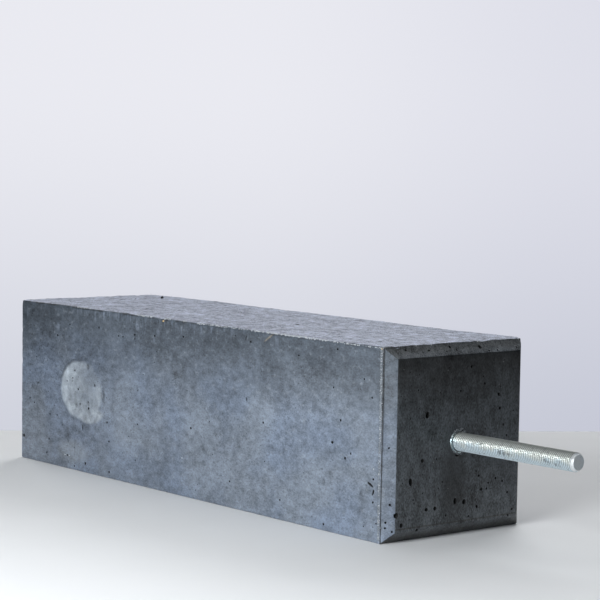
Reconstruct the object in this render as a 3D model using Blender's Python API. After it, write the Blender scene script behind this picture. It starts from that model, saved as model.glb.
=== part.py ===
"""Precast concrete column base block with a threaded rod, lying on one long side.

The block is cast in an open mould and lies as it came out: the mould's floor made its underside,
and the struck-off open side is its top. A steel socket cast into one end holds the threaded rod
that carries the column. Metres, +Z up, +X along the block towards the rod. The origin is the
centre of the block's underside.
"""
import math

import bmesh
import bpy
from mathutils import Matrix

# Concrete block. The mould is square inside, and the open side was filled a little over its rim.
BLOCK_LENGTH = 0.700
BLOCK_WIDTH = 0.200
MOULD_DEPTH = 0.200
OVERFILL = 0.003
BLOCK_HEIGHT = MOULD_DEPTH + OVERFILL

# Chamfer round the rod end, from a strip in the mould: along the length, and in from each side.
CHAMFER_DEPTH = 0.011
CHAMFER_WIDTH = 0.012

# Arrises rounded by the mould and by handling.
ARRIS_RADIUS = 0.0015
ARRIS_SEGMENTS = 2

# Threaded rod: 20 mm coarse thread. It is threaded all along, and only the stretch that shows is cut.
ROD_DIAMETER = 0.020
THREAD_PITCH = 0.0025
THREAD_DEPTH = 0.61343 * THREAD_PITCH
ROD_PROJECTION = 0.170
ROD_ENGAGEMENT = 0.060
TIP_DIAMETER = 0.0154
TIP_LENGTH = 0.0032

# Socket cast into the block: a closed tube whose rim stands a little proud of the concrete.
SOCKET_WALL = 0.0032
SOCKET_FLOOR = 0.004
SOCKET_SPARE_DEPTH = 0.012
SOCKET_PROUD = 0.001
SOCKET_EDGE = 0.0005

# Clearance left between pieces that touch.
FIT_GAP = 0.0003

# Facets round each turned piece.
THREAD_SIDES = 20
SOCKET_SIDES = 48

# The rod and the socket lie on the middle line of the mould.
ROD_AXIS_X = BLOCK_LENGTH / 2
ROD_AXIS_HEIGHT = MOULD_DEPTH / 2
SOCKET_BORE_RADIUS = ROD_DIAMETER / 2 + FIT_GAP
SOCKET_RADIUS = SOCKET_BORE_RADIUS + SOCKET_WALL
SOCKET_DEPTH = ROD_ENGAGEMENT + SOCKET_SPARE_DEPTH + SOCKET_FLOOR


def clear_scene():
    for old in list(bpy.data.objects):
        bpy.data.objects.remove(old, do_unlink=True)


def material(name, colour, roughness, metallic):
    made = bpy.data.materials.new(name)
    made.use_nodes = True
    shader = made.node_tree.nodes["Principled BSDF"]
    shader.inputs["Base Color"].default_value = (*colour, 1)
    shader.inputs["Roughness"].default_value = roughness
    shader.inputs["Metallic"].default_value = metallic
    return made


def add_object(name, mesh, finish=None, parent=None):
    thing = bpy.data.objects.new(name, mesh)
    if finish:
        mesh.materials.append(finish)
    bpy.context.scene.collection.objects.link(thing)
    thing.parent = parent
    return thing


def rectangle(shape, x, half_width, bottom, top):
    """Four corners of a rectangle across the length, in order round the +X axis."""
    corners = [(-half_width, bottom), (half_width, bottom), (half_width, top), (-half_width, top)]
    return [shape.verts.new((x, y, z)) for y, z in corners]


def block_mesh():
    """A square bar whose +X end steps in through the chamfer."""
    shape = bmesh.new()
    half = BLOCK_WIDTH / 2
    foot = rectangle(shape, -BLOCK_LENGTH / 2, half, 0, BLOCK_HEIGHT)
    shoulder = rectangle(shape, BLOCK_LENGTH / 2 - CHAMFER_DEPTH, half, 0, BLOCK_HEIGHT)
    rod_end = rectangle(
        shape, BLOCK_LENGTH / 2, half - CHAMFER_WIDTH, CHAMFER_WIDTH, BLOCK_HEIGHT - CHAMFER_WIDTH
    )
    for near, far in ((foot, shoulder), (shoulder, rod_end)):
        for i in range(4):
            j = (i + 1) % 4
            shape.faces.new((near[i], near[j], far[j], far[i]))
    shape.faces.new(foot)
    shape.faces.new(rod_end)
    bmesh.ops.recalc_face_normals(shape, faces=shape.faces)
    mesh = bpy.data.meshes.new("concrete_block")
    shape.to_mesh(mesh)
    shape.free()
    return mesh


def turned_mesh(name, profile, sides):
    """Spins (x, radius) points that start and end on the X axis once round it."""
    shape = bmesh.new()
    points = [shape.verts.new((x, 0, radius)) for x, radius in profile]
    edges = [shape.edges.new(pair) for pair in zip(points, points[1:])]
    bmesh.ops.spin(
        shape, geom=points + edges, cent=(0, 0, 0), axis=(1, 0, 0), angle=math.tau, steps=sides
    )
    bmesh.ops.remove_doubles(shape, verts=shape.verts, dist=1e-6)
    bmesh.ops.recalc_face_normals(shape, faces=shape.faces)
    mesh = bpy.data.meshes.new(name)
    shape.to_mesh(mesh)
    shape.free()
    mesh.shade_smooth()
    mesh.set_sharp_from_angle(angle=math.radians(40))
    return mesh


def socket_mesh():
    """A closed tube along X: x = 0 is the block's end face, and the mouth faces +X."""
    back = -SOCKET_DEPTH
    rim = SOCKET_PROUD
    floor = back + SOCKET_FLOOR
    profile = [
        (back, 0),
        (back, SOCKET_RADIUS - SOCKET_EDGE),
        (back + SOCKET_EDGE, SOCKET_RADIUS),
        (rim - SOCKET_EDGE, SOCKET_RADIUS),
        (rim, SOCKET_RADIUS - SOCKET_EDGE),
        (rim, SOCKET_BORE_RADIUS),
        (floor, SOCKET_BORE_RADIUS),
        (floor, 0),
    ]
    return turned_mesh("threaded_socket", profile, SOCKET_SIDES)


def thread_column(share):
    """(x, radius) points along the rod at one angle, given as a share of a full turn."""
    crest = ROD_DIAMETER / 2
    root = crest - THREAD_DEPTH
    bevel_start = ROD_PROJECTION - TIP_LENGTH
    nearest = THREAD_PITCH / 20
    points = [(-ROD_ENGAGEMENT, crest), (0, crest)]
    flank = THREAD_PITCH / 2
    step = 0
    x = share * THREAD_PITCH
    while x < bevel_start - nearest:
        if x > nearest:
            points.append((x, crest if step % 2 else root))
        step += 1
        x = share * THREAD_PITCH + step * flank
    up_the_flank = 1 - (x - bevel_start) / flank
    last, following = (root, crest) if step % 2 else (crest, root)
    radius = last + (following - last) * min(max(up_the_flank, 0), 1)
    points.append((bevel_start, max(radius, TIP_DIAMETER / 2)))
    points.append((ROD_PROJECTION, TIP_DIAMETER / 2))
    return points


def rod_mesh():
    """Columns of thread points round the rod, zipped together in order of x. x = 0 is the block's end."""
    shape = bmesh.new()
    columns = []
    for i in range(THREAD_SIDES):
        angle = math.tau * i / THREAD_SIDES
        column = thread_column(i / THREAD_SIDES)
        columns.append(
            [shape.verts.new((x, r * math.cos(angle), r * math.sin(angle))) for x, r in column]
        )
    for here, there in zip(columns, columns[1:] + columns[:1]):
        a = b = 0
        while a < len(here) - 1 or b < len(there) - 1:
            at_end = b == len(there) - 1
            if at_end or (a < len(here) - 1 and here[a + 1].co.x <= there[b + 1].co.x):
                shape.faces.new((here[a], there[b], here[a + 1]))
                a += 1
            else:
                shape.faces.new((here[a], there[b], there[b + 1]))
                b += 1
    shape.faces.new([column[0] for column in columns])
    shape.faces.new([column[-1] for column in columns])
    bmesh.ops.recalc_face_normals(shape, faces=shape.faces)
    mesh = bpy.data.meshes.new("threaded_rod")
    shape.to_mesh(mesh)
    shape.free()
    mesh.shade_smooth()
    mesh.set_sharp_from_angle(angle=math.radians(40))
    return mesh


def bore_cutter(rod_axis):
    """A cylinder along the rod's axis that leaves room for the socket and runs out past the end face."""
    run_out = SOCKET_PROUD + SOCKET_WALL
    back = -SOCKET_DEPTH - FIT_GAP
    shape = bmesh.new()
    along_x = Matrix.Rotation(math.pi / 2, 4, "Y")
    bmesh.ops.create_cone(
        shape,
        cap_ends=True,
        segments=SOCKET_SIDES,
        radius1=SOCKET_RADIUS + FIT_GAP,
        radius2=SOCKET_RADIUS + FIT_GAP,
        depth=run_out - back,
        matrix=Matrix.Translation(((run_out + back) / 2, 0, 0)) @ along_x,
    )
    mesh = bpy.data.meshes.new("socket_bore")
    shape.to_mesh(mesh)
    shape.free()
    cutter = add_object("socket_bore", mesh, parent=rod_axis)
    cutter.hide_render = True
    cutter.display_type = "WIRE"
    return cutter


clear_scene()

rod_axis = bpy.data.objects.new("rod_axis", None)
bpy.context.scene.collection.objects.link(rod_axis)
rod_axis.location = (ROD_AXIS_X, 0, ROD_AXIS_HEIGHT)

concrete = material("charcoal_concrete", (0.115, 0.125, 0.14), 0.85, 0)
zinc = material("zinc_plating", (0.62, 0.65, 0.66), 0.35, 0.9)

block = add_object("concrete_block", block_mesh(), concrete)
arrises = block.modifiers.new("arrises", "BEVEL")
arrises.width = ARRIS_RADIUS
arrises.segments = ARRIS_SEGMENTS
arrises.limit_method = "ANGLE"
arrises.angle_limit = math.radians(30)
bore = block.modifiers.new("bore", "BOOLEAN")
bore.operation = "DIFFERENCE"
bore.solver = "EXACT"
bore.object = bore_cutter(rod_axis)

add_object("threaded_socket", socket_mesh(), zinc, rod_axis)
add_object("threaded_rod", rod_mesh(), zinc, rod_axis)
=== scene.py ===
import math
import random

import bmesh
import bpy
from mathutils import Matrix, Quaternion, Vector, noise


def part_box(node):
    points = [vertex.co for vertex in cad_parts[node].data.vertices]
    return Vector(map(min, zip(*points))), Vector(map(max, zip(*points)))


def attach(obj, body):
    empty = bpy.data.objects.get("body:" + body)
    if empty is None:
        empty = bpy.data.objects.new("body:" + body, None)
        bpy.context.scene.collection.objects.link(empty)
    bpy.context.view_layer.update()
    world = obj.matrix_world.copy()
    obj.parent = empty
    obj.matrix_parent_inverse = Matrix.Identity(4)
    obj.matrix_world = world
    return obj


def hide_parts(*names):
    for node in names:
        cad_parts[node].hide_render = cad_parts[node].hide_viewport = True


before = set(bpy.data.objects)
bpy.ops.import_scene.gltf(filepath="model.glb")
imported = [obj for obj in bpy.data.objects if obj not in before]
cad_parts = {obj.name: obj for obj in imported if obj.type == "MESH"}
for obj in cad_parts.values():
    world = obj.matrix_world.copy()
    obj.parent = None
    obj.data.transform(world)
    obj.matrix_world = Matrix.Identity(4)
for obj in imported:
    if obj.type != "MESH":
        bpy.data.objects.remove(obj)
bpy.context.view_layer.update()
MM = 0.001

# Camera and picture
# A long lens, low in front of the rod end and a little off level, as the photograph was taken.
CAMERA_PLACE = Vector((1.9137, -1.5096, 0.4189))
CAMERA_AZIMUTH = math.radians(50.482)
CAMERA_ELEVATION = math.radians(4.562)
CAMERA_ROLL = math.radians(0.955)
LENS = 124.95
SENSOR_WIDTH = 36


def add_camera():
    lens = bpy.data.cameras.new("camera")
    lens.lens = LENS
    lens.sensor_width = SENSOR_WIDTH
    camera = bpy.data.objects.new("camera", lens)
    bpy.context.scene.collection.objects.link(camera)
    level = math.cos(CAMERA_ELEVATION)
    back = Vector((
        math.sin(CAMERA_AZIMUTH) * level,
        -math.cos(CAMERA_AZIMUTH) * level,
        math.sin(CAMERA_ELEVATION),
    ))
    camera.location = CAMERA_PLACE
    camera.rotation_mode = "QUATERNION"
    camera.rotation_quaternion = (-back).to_track_quat("-Z", "Y") @ Quaternion((0, 0, 1), CAMERA_ROLL)
    bpy.context.scene.camera = camera


add_camera()
bpy.context.scene.view_settings.view_transform = "Standard"

# Concrete block
# One casting of charcoal-pigmented concrete, 200 mm square and 700 mm long, chamfered round its rod end.
# It was cast lying down: five sides are smooth from the mould, with air holes and pale lime bloom, and
# the open side, now on top, was struck off by hand. The mould's joints left crumbs along the arrises.
ARRIS_RADIUS = 1.5 * MM
ARRIS_POINTS = 4
CHAMFER_DEPTH = 11 * MM
CHAMFER_WIDTH = 12 * MM
CHAMFER_SLOPE = math.hypot(CHAMFER_DEPTH, CHAMFER_WIDTH)
CHAMFER_ROWS = (1.15 * MM, 1.45 * MM, 2.1 * MM, 2.5 * MM, 6 * MM, 9 * MM, 12.5 * MM)
LENGTH_STEP = 3.4 * MM
SIDE_STEPS = 54
TOP_STEPS = 96
UNDERSIDE_STEPS = 16
FACE_SHARES = (0.12, 0.26, 0.4, 0.54, 0.68, 0.8, 0.9, 0.97)
BORE_CLEARANCE = 0.3 * MM
# The concrete comes in over the outer edge of the socket's rim by this much, and this far down.
MOUTH_LIP = 0.9 * MM
MOUTH_LIP_DEPTH = 1.3 * MM

block_low, block_high = (Vector(corner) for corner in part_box("concrete_block"))
socket_low, socket_high = (Vector(corner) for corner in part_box("threaded_socket"))
rod_low, rod_high = (Vector(corner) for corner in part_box("threaded_rod"))
HALF_WIDTH = block_high.y
HEIGHT = block_high.z
FOOT_X = block_low.x
END_X = block_high.x
SHOULDER_X = END_X - CHAMFER_DEPTH
ROD_AXIS = Vector((0, 0, (rod_low.z + rod_high.z) / 2))
SOCKET_RADIUS = (socket_high.y - socket_low.y) / 2
ROD_RADIUS = (rod_high.z - rod_low.z) / 2


def section(x, inset, radius):
    """Points round the block's rectangle at x, set in by inset, with rounded corners. Starts low on -Y."""
    half = HALF_WIDTH - inset
    corners = [(-half, inset), (half, inset), (half, HEIGHT - inset), (-half, HEIGHT - inset)]
    ways = [Vector((1, 0)), Vector((0, 1)), Vector((-1, 0)), Vector((0, -1))]
    points = []
    for i, steps in enumerate((UNDERSIDE_STEPS, SIDE_STEPS, TOP_STEPS, SIDE_STEPS)):
        way, turn = ways[i], ways[(i + 1) % 4]
        start = Vector(corners[i]) + way * radius
        end = Vector(corners[(i + 1) % 4]) - way * radius
        points += [start.lerp(end, k / steps) for k in range(steps + 1)]
        centre = end + turn * radius
        for k in range(1, ARRIS_POINTS):
            angle = math.pi / 2 * k / ARRIS_POINTS
            points.append(centre - turn * radius * math.cos(angle) + way * radius * math.sin(angle))
    return [Vector((x, y, z)) for y, z in points]


def eased_corner(before, corner, after, reach):
    """(x, inset) points that round a corner of the block's long profile."""
    start = corner + (before - corner).normalized() * reach
    end = corner + (after - corner).normalized() * reach
    steps = [k / ARRIS_POINTS for k in range(ARRIS_POINTS + 1)]
    return [start * (1 - t) ** 2 + corner * 2 * t * (1 - t) + end * t * t for t in steps]


def between(ring, other, share):
    return [a.lerp(b, share) for a, b in zip(ring, other)]


def circle_at(x, radius, ring):
    """A circle round the rod's axis, each point at the same angle as its partner in ring."""
    points = []
    for p in ring:
        way = Vector((0, p.y, p.z - ROD_AXIS.z)).normalized()
        points.append(Vector((x, 0, ROD_AXIS.z)) + way * radius)
    return points


def block_rings():
    """The block's skin as rings: foot face, sides, chamfer, rod end and the socket's bore."""
    foot, shoulder, rod_end = Vector((FOOT_X, 0)), Vector((SHOULDER_X, 0)), Vector((END_X, CHAMFER_WIDTH))
    inward = Vector((0, 0.02))
    profile = eased_corner(foot + inward, foot, shoulder, ARRIS_RADIUS)
    rows = round((SHOULDER_X - FOOT_X - 4 * ARRIS_RADIUS) / LENGTH_STEP)
    near, far = FOOT_X + 2 * ARRIS_RADIUS, SHOULDER_X - 2 * ARRIS_RADIUS
    profile += [Vector((near + (far - near) * k / rows, 0)) for k in range(rows + 1)]
    profile += eased_corner(foot, shoulder, rod_end, 0.7 * ARRIS_RADIUS)
    profile += [shoulder.lerp(rod_end, reach / CHAMFER_SLOPE) for reach in CHAMFER_ROWS]
    profile += eased_corner(shoulder, rod_end, rod_end + inward, 0.6 * ARRIS_RADIUS)
    rings = [section(x, inset, max(ARRIS_RADIUS - inset, 0.3 * ARRIS_RADIUS)) for x, inset in profile]
    foot_rim, end_rim = rings[0], rings[-1]
    foot_centre = [Vector((FOOT_X, 0, HEIGHT / 2))] * len(foot_rim)
    foot_face = [between(foot_centre, foot_rim, share) for share in FACE_SHARES]
    bore = SOCKET_RADIUS + BORE_CLEARANCE
    mouth = circle_at(END_X, bore - MOUTH_LIP, end_rim)
    under_lip = circle_at(END_X - MOUTH_LIP_DEPTH, bore, end_rim)
    end_face = [between(end_rim, mouth, share) for share in FACE_SHARES[:-1] + (0.985, 1)]
    back = circle_at(socket_low.x - BORE_CLEARANCE, bore, end_rim)
    return foot_face + rings + end_face + [under_lip, back]


def skin(shape, rings):
    """Joins rings of equal length into a closed skin with a fan at each end."""
    rows = [[shape.verts.new(p) for p in ring] for ring in rings]
    for row, following in zip(rows, rows[1:]):
        for i in range(len(row)):
            j = (i + 1) % len(row)
            shape.faces.new((row[i], row[j], following[j], following[i]))
    for row in (rows[0], rows[-1]):
        centre = shape.verts.new(sum((v.co for v in row), Vector()) / len(row))
        for i in range(len(row)):
            shape.faces.new((centre, row[i], row[(i + 1) % len(row)]))
    bmesh.ops.recalc_face_normals(shape, faces=shape.faces)


def smooth_step(low, high, value):
    share = min(max((value - low) / (high - low), 0), 1)
    return share * share * (3 - 2 * share)


def struck_off(p):
    """Height of the hand-struck top over its plane: hollows, drag marks along the length, and tears."""
    hollows = noise.noise(Vector((p.x * 9, p.y * 14, 3.1)))
    drags = noise.noise(Vector((p.x * 13, p.y * 120, 8.7)))
    scrapes = noise.noise(Vector((p.x * 40, p.y * 260, 1.3)))
    grit = noise.noise(p * 160)
    torn = max(0, noise.noise(Vector((p.x * 30, p.y * 75, 5.5))) - 0.38)
    raised = smooth_step(0.22, 0.33, p.x)
    return MM * (0.55 * hollows + 0.4 * drags + 0.25 * scrapes + 0.16 * grit - 2.4 * torn + 0.9 * raised)


def cast_waviness(p):
    return MM * (0.12 * noise.noise(p * 11) + 0.05 * noise.noise(p * 60) - 0.05)


def arris_wear(p):
    """How much of an arris is gone at p: slight wear all along, with a chip here and there."""
    worn = 0.1 + 0.1 * noise.noise(p * 70)
    chipped = max(0, noise.noise(p * 150 + Vector((4, 9, 2))) - 0.3)
    return MM * (worn + 1.5 * chipped)


# Corners knocked round: the corner, how far the wear reaches and how deep it goes.
WORN_CORNERS = (
    (Vector((SHOULDER_X, HALF_WIDTH, HEIGHT)), 8 * MM, 1.2 * MM),
    (Vector((FOOT_X, -HALF_WIDTH, HEIGHT)), 7 * MM, 0.8 * MM),
    (Vector((FOOT_X, HALF_WIDTH, HEIGHT)), 8 * MM, 1.8 * MM),
    (Vector((FOOT_X, HALF_WIDTH, 0)), 7 * MM, 1.6 * MM),
    (Vector((END_X, HALF_WIDTH - CHAMFER_WIDTH, CHAMFER_WIDTH)), 5 * MM, 0.9 * MM),
)


def corner_wear(p):
    return sum(depth * smooth_step(reach, 0, (p - corner).length) for corner, reach, depth in WORN_CORNERS)


def arris_share(p):
    """1 on an arris between two sides of the block, 0 away from it."""
    across = min(HALF_WIDTH - abs(p.y), HALF_WIDTH)
    upright = min(p.z, HEIGHT - p.z)
    along = min(p.x - FOOT_X, max(SHOULDER_X - p.x, 0) + 10 * max(p.x - SHOULDER_X, 0))
    nearest = sorted((across, upright, along))
    return 1 - smooth_step(0.6 * ARRIS_RADIUS, 1.6 * ARRIS_RADIUS, nearest[1])


def burr_height(p):
    """The thin fin of cement that the mould's lip left along the top's long arrises."""
    if p.z < HEIGHT - 1.2 * ARRIS_RADIUS or p.x > SHOULDER_X:
        return 0
    ragged = max(0, noise.noise(p * 160 + Vector((1, 5, 3))) + 0.1)
    return MM * 0.6 * ragged * smooth_step(-0.27, -0.22, p.x)


GROOVE_START = 1.3 * MM
GROOVE_END = 2.3 * MM


def down_the_chamfer(p):
    """How far p is past the shoulder, measured down the chamfer's slope."""
    return (p.x - SHOULDER_X) * CHAMFER_SLOPE / CHAMFER_DEPTH


def groove_depth(p):
    """The narrow groove beside the front arris of the chamfer, where the chamfer strip met the mould."""
    if p.y > -0.8 * HALF_WIDTH or not GROOVE_START < down_the_chamfer(p) < GROOVE_END:
        return 0
    return MM * (0.2 + 0.45 * p.z / HEIGHT + 0.3 * noise.noise(p * 50))


def joint_ridge(p):
    """The low ridge of paste down the front arris of the chamfer, squeezed out between strip and mould."""
    if p.y > -HALF_WIDTH + 1.2 * MM or abs(down_the_chamfer(p)) > 0.9 * MM:
        return 0
    return MM * (0.45 + 0.35 * noise.noise(p * 180))


def foot_shift(p):
    """Near the foot the casting is out of square: its face leans, and its top falls a millimetre or so."""
    near = smooth_step(-0.27, FOOT_X, p.x)
    across = (p.y + HALF_WIDTH) / (2 * HALF_WIDTH)
    upright = p.z / HEIGHT
    lean = -0.9 - 0.7 * upright + (3.4 + 0.7 * upright) * across
    fall = upright * (0.2 + 0.6 * min(1, 2.5 * across))
    return Vector((lean, 0, -fall)) * near * MM


def roughen(shape):
    """Moves the plain skin's points along their normals into the surface of the real casting."""
    shape.normal_update()
    moves = []
    for v in shape.verts:
        p, n = v.co, v.normal
        in_bore = Vector((0, p.y, p.z - ROD_AXIS.z)).length < SOCKET_RADIUS + 2 * BORE_CLEARANCE
        if in_bore and p.x > socket_low.x - MM:
            moves.append(Vector())
            continue
        top = smooth_step(0.5, 0.9, n.z) * smooth_step(HEIGHT - 3 * MM, HEIGHT - MM, p.z)
        lift = top * struck_off(p) + (1 - top) * cast_waviness(p)
        lift -= arris_share(p) * arris_wear(p) + corner_wear(p) + groove_depth(p)
        lift += arris_share(p) * burr_height(p) + joint_ridge(p)
        moves.append(n * lift + foot_shift(p))
    for v, move in zip(shape.verts, moves):
        v.co += move
        v.co.z = max(v.co.z, 0)


# The block's sides: a point on the side, and the ways to the right and up on it, seen from outside.
ALONG, ACROSS, UP = Vector((1, 0, 0)), Vector((0, 1, 0)), Vector((0, 0, 1))
down_front = Vector((CHAMFER_DEPTH, CHAMFER_WIDTH, 0)).normalized()
up_top = Vector((-CHAMFER_DEPTH, 0, CHAMFER_WIDTH)).normalized()
SIDES = {
    "front chamfer": (Vector((SHOULDER_X, -HALF_WIDTH, 0)), down_front, UP),
    "top chamfer": (Vector((SHOULDER_X, 0, HEIGHT)), ACROSS, up_top),
    "rod end": (Vector((END_X, 0, 0)), ACROSS, UP),
    "front": (Vector((0, -HALF_WIDTH, 0)), ALONG, UP),
    "back": (Vector((0, HALF_WIDTH, 0)), -ALONG, UP),
    "top": (Vector((0, 0, HEIGHT)), ALONG, ACROSS),
    "foot": (Vector((FOOT_X, 0, 0)), -ACROSS, UP),
    "underside": (Vector(), ALONG, -ACROSS),
}

# Air holes that show in the photograph, by side: place right and up, width and height in millimetres.
SEEN_HOLES = (
    ("rod end", (
        (-46, 131, 4.4, 6.6), (-68, 63, 4.4, 7.6), (-4, 37, 4.4, 6.5), (9, 35, 5, 5),
        (-87, 30, 4.8, 5.2), (-52, 84, 3.6, 4.2), (-33, 32, 4, 4.1), (-45, 32, 3.8, 3.5),
        (-80, 19, 3.7, 4.4), (-58, 12, 3.2, 3), (57, 146, 3.7, 3.2), (59, 131, 3.2, 3),
        (16, 178, 3.2, 3.4), (34, 46, 3.1, 3.1), (28, 28, 2.6, 3.5), (1, 153, 2.1, 2.3),
        (36, 159, 2.3, 2.3), (65, 113, 2.3, 2.5), (70, 101, 2.3, 2.5), (30, 61, 2.3, 2.3),
        (26, 66, 2, 2.1), (55, 56, 2.5, 2.5), (65, 52, 2.3, 2.3), (44, 52, 2.3, 2.1), (42, 46, 2.3, 2.3),
        (73, 39, 2.5, 2.5), (81, 20, 2.6, 2.3), (75, 14, 2.3, 2.3), (16, 19, 2.1, 1.9),
        (-17, 23, 2.1, 2.3), (-64, 44, 1.8, 1.8), (-23, 59, 1.8, 1.8), (-32, 84, 1.6, 1.6),
    )),
    ("front chamfer", (
        (10.3, 41.3, 2.4, 2.4), (6, 22.7, 2.2, 2.2), (5.6, 17, 2, 2), (12.9, 13.4, 2, 2.2),
        (8.2, 100, 1.6, 2),
    )),
    ("top chamfer", (
        (-71.8, -5, 3.4, 3), (-40.4, -7.4, 3.2, 2.8), (-9.4, -5.1, 3.6, 3.4), (-1.9, -9.4, 2, 2),
        (-16.7, -10, 1.8, 1.8), (32.8, -7.8, 4.8, 5.2), (42.9, -13.2, 2.4, 2), (55.6, -13, 2.2, 2),
        (85.3, -11, 2, 2.6),
    )),
    ("front", (
        (-344, 29, 4.6, 4.2), (-268, 164, 2.8, 2.6), (-291, 14, 3.2, 2.4), (-312, 100, 3, 2.8),
        (-330, 79, 2.4, 2.2), (-286, 32, 2.8, 2.6), (-320, 74, 1.8, 1.8), (-284, 63.5, 1.7, 1.7),
        (-268, 64, 1.9, 1.9), (-243.7, 16.7, 3, 2.8), (-153, 45, 2.8, 2.4), (-157.5, 67.6, 2.4, 2.4),
        (-204, 11.5, 2.6, 3.4), (-228.2, 5, 2.2, 1.8), (-152.3, 8, 2.6, 2.4), (-197.4, 80.2, 2.8, 3),
        (-220.9, 101.5, 2.2, 2.8), (-184.5, 109.6, 2.2, 3), (-216.4, 83.4, 1.8, 2.6),
        (-228.3, 123.9, 2, 2.4), (-232.9, 114.2, 2, 2.2), (-245.8, 109.1, 1.7, 1.8),
        (-198.8, 87.7, 1.9, 2.2), (-94, 73, 2, 1.8), (12.3, 81.3, 2.6, 2.4), (145, 103, 3, 2.8),
        (275, 121, 2.4, 2.6), (262, 96, 2.8, 2.6), (283, 82, 2.8, 2.8), (292, 88, 2, 2.4),
        (121, 190, 3, 2.8), (268, 195, 2.6, 1.6), (311, 168, 2, 2), (324, 150, 2, 1.9),
        (328, 66, 3, 2.4), (328, 42, 2.4, 2.4), (250, 7, 2.6, 2.4), (333.5, 20.6, 2, 1.7),
        (176, 22, 2.2, 2), (86, 30, 2.1, 2), (-240.5, 179.7, 2.2, 2), (-176.5, 180.9, 2.4, 2.2),
        (-100.9, 178.8, 2.4, 2), (-134.5, 174.5, 2, 2), (-125.7, 174.3, 2, 1.8), (-60.6, 181, 2.2, 2),
        (-4.3, 184.6, 2, 2), (204.4, 182.6, 3.2, 1.7),
    )),
    ("rod end", (
        (-3, 85.6, 4.4, 2.6),
    )),
)
# Narrow slits: side, place, width, height and lean to the left in radians.
SEEN_SLITS = (
    ("front", 323.4, 59.8, 10.6, 3.6, -0.42), ("front", 328.2, 52.2, 2.6, 7, -0.35),
    ("front", -210.2, 55, 1.8, 8, 0.08), ("front", 115.4, 125.5, 1.8, 6, 0.1),
    ("front", -242.8, 35, 1.2, 6, 0.35), ("front", 112.5, 193.5, 1.6, 6, -0.1),
    ("top", -289, 10, 3, 26, 0.2), ("top", -296, 33, 2.6, 18, 0.35), ("top", -151, 72.7, 5, 3, 0),
)
# Shallow dents in the front, with the finish of the face round them: place, width, height and depth.
FRONT_DENTS = (
    (322, 55.6, 13, 11, 1.3), (-224.2, 81.3, 4.4, 4.4, 1.2), (249.4, 53.2, 3.4, 6, 0.8),
    (275.4, 37.1, 3.4, 5, 0.8), (308.6, 48.5, 2.6, 3.4, 0.7), (-199.7, 131.4, 3.6, 5, 1.0),
    (-167, 100, 3.6, 15, 0.7), (128, 164, 2.8, 2.8, 0.8), (149, 166, 3, 3, 0.8), (-5, 46, 3.4, 5, 0.8),
    (41, 107, 3, 3, 0.8), (22, 76, 4.6, 3, 0.7),
)
# An air hole's depth for its width and height together, and how far its middle lies under the face.
HOLE_DEPTH = 0.75
HOLE_SINK = 0.3
HOLE_LEAN = 0.35
# Small holes are cut a little larger, because the cut ball is widest under the face.
SEEN_HOLE_GROWTH = 1.18
SMALL_HOLE = 3
SLIT_DEPTH = 6
SLIT_SINK = 1.2
# Unseen holes: the number on each side, where they may lie, their sizes and what they keep clear of.
UNSEEN_HOLES = {"front": 40, "rod end": 40, "back": 110, "foot": 42, "top": 30, "underside": 60}
LONG_SPAN = (-342, 330, 6, 196)
HOLE_SPANS = {
    "rod end": (-84, 84, 14, 188),
    "foot": (-94, 94, 6, 196),
    "top": (-340, 330, -92, 92),
    "underside": (-342, 330, -94, 94),
}
SMALLEST_HOLE = 1.2
WIDEST_IN_VIEW = 1.9
WIDEST_OUT_OF_VIEW = 5.5
HOLE_GAP = 1.6
CLEAR_OF_ROD_AXIS = 24
MOST_TRIES = 5000


def as_object(name, shape):
    """A new object from a finished mesh, which is freed."""
    mesh = bpy.data.meshes.new(name)
    shape.to_mesh(mesh)
    shape.free()
    made = bpy.data.objects.new(name, mesh)
    bpy.context.scene.collection.objects.link(made)
    return made


def on_side(side, right, up):
    origin, rightward, upward = SIDES[side]
    return origin + (rightward * right + upward * up) * MM


def air_holes():
    """The seen holes, then seeded ones: mostly pinholes, a few larger, clear of the others."""
    holes = []
    for side, seen in SEEN_HOLES:
        for right, up, width, tall in seen:
            grown = SEEN_HOLE_GROWTH if side == "rod end" or width < SMALL_HOLE else 1
            holes.append((side, Vector((right, up)), width * grown, tall * grown))
    marks = [(side, Vector(mark[:2]), *mark[2:4]) for side, *mark in SEEN_SLITS]
    marks += [("front", Vector(dent[:2]), *dent[2:4]) for dent in FRONT_DENTS]
    pick = random.Random(7)
    for side, count in UNSEEN_HOLES.items():
        span = HOLE_SPANS.get(side, LONG_SPAN)
        widest = WIDEST_IN_VIEW if side in ("front", "rod end") else WIDEST_OUT_OF_VIEW
        tries = 0
        while count and tries < MOST_TRIES:
            tries += 1
            spot = Vector((pick.uniform(*span[:2]), pick.uniform(*span[2:])))
            width = SMALLEST_HOLE + (widest - SMALLEST_HOLE) * pick.random() ** 4
            tall = width * pick.uniform(0.8, 1.5)
            if side == "rod end" and (spot - Vector((0, ROD_AXIS.z / MM))).length < CLEAR_OF_ROD_AXIS:
                continue
            others = [h for h in holes + marks if h[0] == side]
            if all((spot - h[1]).length > (max(h[2:]) + max(width, tall)) / 2 + HOLE_GAP for h in others):
                holes.append((side, spot, width, tall))
                count -= 1
    return holes


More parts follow.
